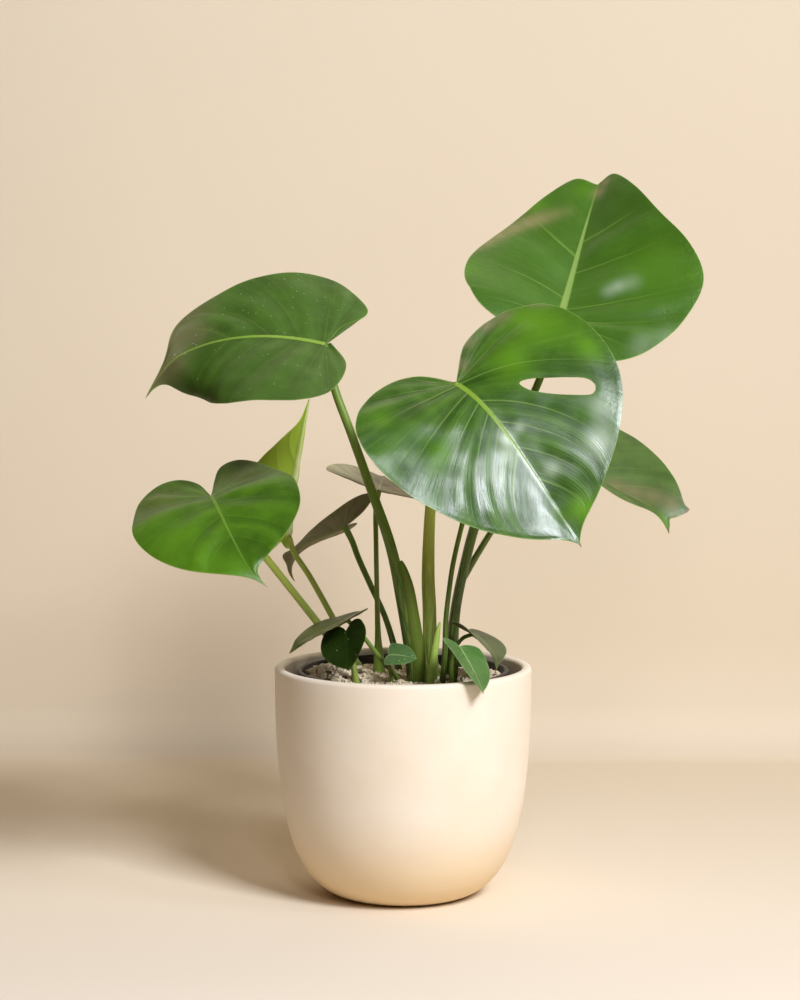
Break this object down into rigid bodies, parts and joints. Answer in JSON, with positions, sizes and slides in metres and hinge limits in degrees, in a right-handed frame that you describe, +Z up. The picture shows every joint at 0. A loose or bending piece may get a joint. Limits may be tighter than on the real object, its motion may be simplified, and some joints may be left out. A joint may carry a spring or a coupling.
{
  "type": "potted swiss cheese plant",
  "caption": "Young split-leaf climbing plant in a round cream planter: black growing pot, soil, pale pumice topping and broad heart-shaped leaves on long stalks.",
  "frame": {"origin": "centre of the planter's flat foot, where it stands on the floor", "axes": "+Z up along the planter's axis, +X to the picture's right, -Y towards the picture's viewer"},
  "size_m": [0.3619, 0.2115, 0.4657],
  "materials": {
    "planter": "cream, matt to satin, slightly uneven",
    "growing_pot": "black moulded plastic",
    "soil": "dark crumbly potting soil",
    "topping": "pale crushed pumice",
    "leaf": "waxy mid green, paler veins",
    "leaf_young": "waxy yellow-green",
    "leaf_olive": "dull olive-brown green",
    "leaf_dark": "dark green with pale specks",
    "stalk": "smooth olive green, fine lengthwise lines",
    "sheath": "bright green, dry brown edge"
  },
  "bodies": {
    "root": {"planter": "planter", "growing_pot": "growing_pot", "soil": "soil", "topping": "topping", "leaf_top_right": "leaf", "leaf_front": "leaf", "leaf_top_left": "leaf", "leaf_right": "leaf", "leaf_lower_left": "leaf", "leaf_unrolling": "leaf_young", "leaf_inner_left": "leaf_olive", "leaf_inner_back": "leaf_olive", "leaf_small_left": "leaf_olive", "leaf_small_dark": "leaf_dark", "leaf_small_centre": "leaf", "leaf_over_rim": "leaf", "leaf_small_right": "leaf_olive", "stalk_top_right": "stalk", "stalk_front": "stalk", "stalk_top_left": "stalk", "stalk_right": "stalk", "stalk_lower_left": "stalk", "stalk_unrolling": "stalk", "stalk_inner_left": "stalk", "stalk_inner_back": "stalk", "stalk_small_left": "stalk", "stalk_small_dark": "stalk", "stalk_small_centre": "stalk", "stalk_over_rim": "stalk", "stalk_small_right": "stalk", "spear": "stalk", "empty_sheath": "sheath"}
  },
  "joints": []
}
